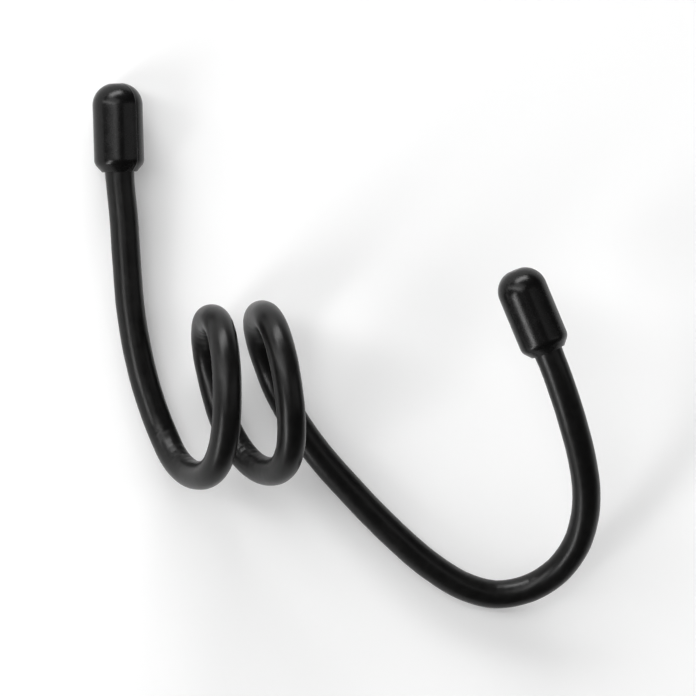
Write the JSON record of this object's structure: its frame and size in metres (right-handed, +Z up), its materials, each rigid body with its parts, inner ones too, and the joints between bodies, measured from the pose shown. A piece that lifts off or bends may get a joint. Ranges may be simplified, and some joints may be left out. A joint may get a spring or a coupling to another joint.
{
  "type": "cable tie",
  "caption": "Bendable cable tie: a round rubber rod over a soft steel wire, domed caps on its ends, keeping the turns it was wound in round a cable bundle.",
  "frame": {"origin": "middle of the tie's box, on the surface that it lies on", "axes": "+X along the bundle that the turns were wound on, towards the long free end; +Y towards the short free end's cap; +Z up from the surface"},
  "size_m": [0.0599, 0.0672, 0.0208],
  "materials": {
    "wire_steel": "drawn soft steel wire, hidden inside the sheath",
    "sheath_rubber": "satin black rubber, smooth, fine extruded grain",
    "cap_rubber": "satin black moulded rubber, slightly glossier than the sheath"
  },
  "bodies": {
    "root": {"steel_wire": "wire_steel", "rubber_sheath": "sheath_rubber", "left_cap": "cap_rubber", "right_cap": "cap_rubber"}
  },
  "joints": []
}
